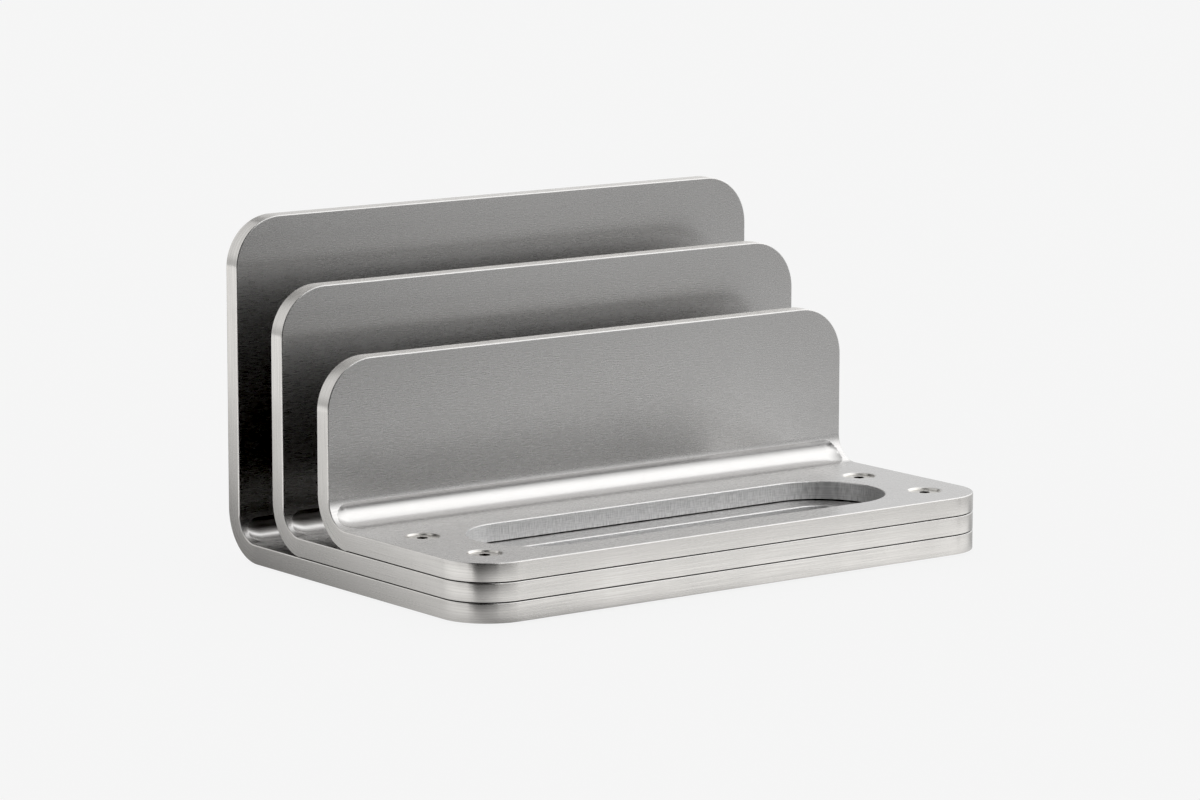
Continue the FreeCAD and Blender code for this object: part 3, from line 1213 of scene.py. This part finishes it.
def lay_card(name, layer, azimuth, reach, sides, feather, glow):
    """A card that lies on the floor, above the cards of the layers below.

    It reaches from near to far along its azimuth, and from left to right as seen from out there.
    """
    turn = math.radians(azimuth)
    outward, across = Vector((math.sin(turn), -math.cos(turn))), Vector((math.cos(turn), math.sin(turn)))
    centre = outward * sum(reach) / 2 + across * sum(sides) / 2
    size = (sides[1] - sides[0], reach[1] - reach[0])
    add_card(name, (*centre, layer * CARD_LIFT), (0, 0, turn), size, feather, glow)


def add_cards():
    """All that the steel reflects besides the pale surroundings."""
    # the key light, a large bank on the right: it shines on the leaves' tops, in the bends and in the well
    hang_card("key_softbox", 73.5, 42, 1.9, (4.58, 3.56), (0.56, 1.65), 2.26)
    # black in front, so that the flanges turn dark grey and the gaps between them nearly black
    hang_card("left_flag", -45.7, 21.4, 1.8, (2.12, 6.7), (0.1, 0.08), 0.006)
    hang_card("low_flag", 16.5, -7.2, 1.7, (3.21, 1.2), (0.49, 0.14), 0)
    # light and shade for the plates' tops, backs and rims
    hang_card("back_softbox", -144, 29, 1.9, (3.05, 1.67), (0.3, 0.3), 1.32)
    hang_card("rear_flag", 166, 36, 1.7, (0.4, 0.4), (0.12, 0.12), 0)
    hang_card("top_softbox", -3, 63, 1.8, (0.7, 0.6), (0.2, 0.2), 4)
    hang_card("right_softbox", 37, 8, 1.6, (0.58, 0.41), (0.2, 0.1), 1.42)
    # black cloths on the floor, and on them the glowing papers that keep the rims bright
    lay_card("back_cloth", 1, -95, (-0.46, 3.9), (-0.35, 3.91), (0.05, 0.85), 0)
    lay_card("far_cloth", 2, -12, (0.326, 3.9), (-1.04, 3.78), (0.04, 0.13), 0)
    lay_card("front_paper", 3, 3, (0.06, 0.154), (-0.176, 0.209), (0.1, 0.02), 1.75)
    lay_card("left_paper", 4, -69, (0.067, 2.24), (-1.76, 0.039), (0.02, 0.1), 1.65)


def add_world(scene, studio):
    """Studio walls of an even pale light."""
    world = bpy.data.worlds.new("studio")
    scene.world = world
    world.use_nodes = True
    world.node_tree.nodes["Background"].inputs["Color"].default_value = (*studio.surround_colour, 1)


def add_camera(scene, studio):
    """A camera with a long lens, in front of the sorter on the left and a little above it."""
    data = bpy.data.cameras.new("camera")
    data.sensor_fit = "HORIZONTAL"
    data.sensor_width = FRAME_WIDTH
    data.lens = studio.camera_lens
    camera = bpy.data.objects.new("camera", data)
    scene.collection.objects.link(camera)
    look = Euler((math.pi / 2 - studio.camera_pitch, 0, -studio.camera_turn)).to_matrix()
    look = look @ Matrix.Rotation(studio.camera_tilt, 3, "Z")
    camera.matrix_world = Matrix.Translation(studio.camera_place) @ look.to_4x4()
    scene.camera = camera


class SORTER_OT_add_stage(bpy.types.Operator):
    """Add the floor, the studio light and the camera"""

    bl_idname = "sorter.add_stage"
    bl_label = "Add Stage"

    def execute(self, context):
        scene = context.scene
        view = scene.view_settings
        view.view_transform = "Standard"
        view.use_curve_mapping = True
        view.curve_mapping.black_level = (BLACK_POINT,) * 3
        add_floor(scene.sorter_studio)
        add_world(scene, scene.sorter_studio)
        add_cards()
        add_camera(scene, scene.sorter_studio)
        return {"FINISHED"}


class SORTER_PT_panel(bpy.types.Panel):
    """Sorter's sizes, colours and pieces"""

    bl_label = "Desk Envelope Sorter"
    bl_idname = "SORTER_PT_panel"
    bl_space_type = "VIEW_3D"
    bl_region_type = "UI"
    bl_category = "Sorter"

    def draw(self, context):
        layout = self.layout
        for title, group in zip(("Sizes", "Colours", "Studio"), GROUPS):
            layout.label(text=title)
            values = getattr(context.scene, group)
            for key in values.__annotations__:
                layout.prop(values, key)
        for operator in OPERATORS:
            layout.operator(operator.bl_idname)


GROUPS = {"sorter_sizes": SorterSizes, "sorter_finish": SorterFinish, "sorter_studio": SorterStudio}
OPERATORS = (SORTER_OT_add_plates, SORTER_OT_add_screws, SORTER_OT_add_feet, SORTER_OT_add_stage)


def register():
    for kind in (*GROUPS.values(), *OPERATORS, SORTER_PT_panel):
        bpy.utils.register_class(kind)
    for name, kind in GROUPS.items():
        setattr(bpy.types.Scene, name, bpy.props.PointerProperty(type=kind))


def unregister():
    for name in GROUPS:
        delattr(bpy.types.Scene, name)
    for kind in reversed((*GROUPS.values(), *OPERATORS, SORTER_PT_panel)):
        bpy.utils.unregister_class(kind)


def main():
    """Builds the whole scene."""
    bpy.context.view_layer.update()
    register()
    bpy.ops.sorter.add_plates()
    bpy.ops.sorter.add_screws()
    bpy.ops.sorter.add_feet()
    bpy.ops.sorter.add_stage()


if __name__ == "__main__":
    main()
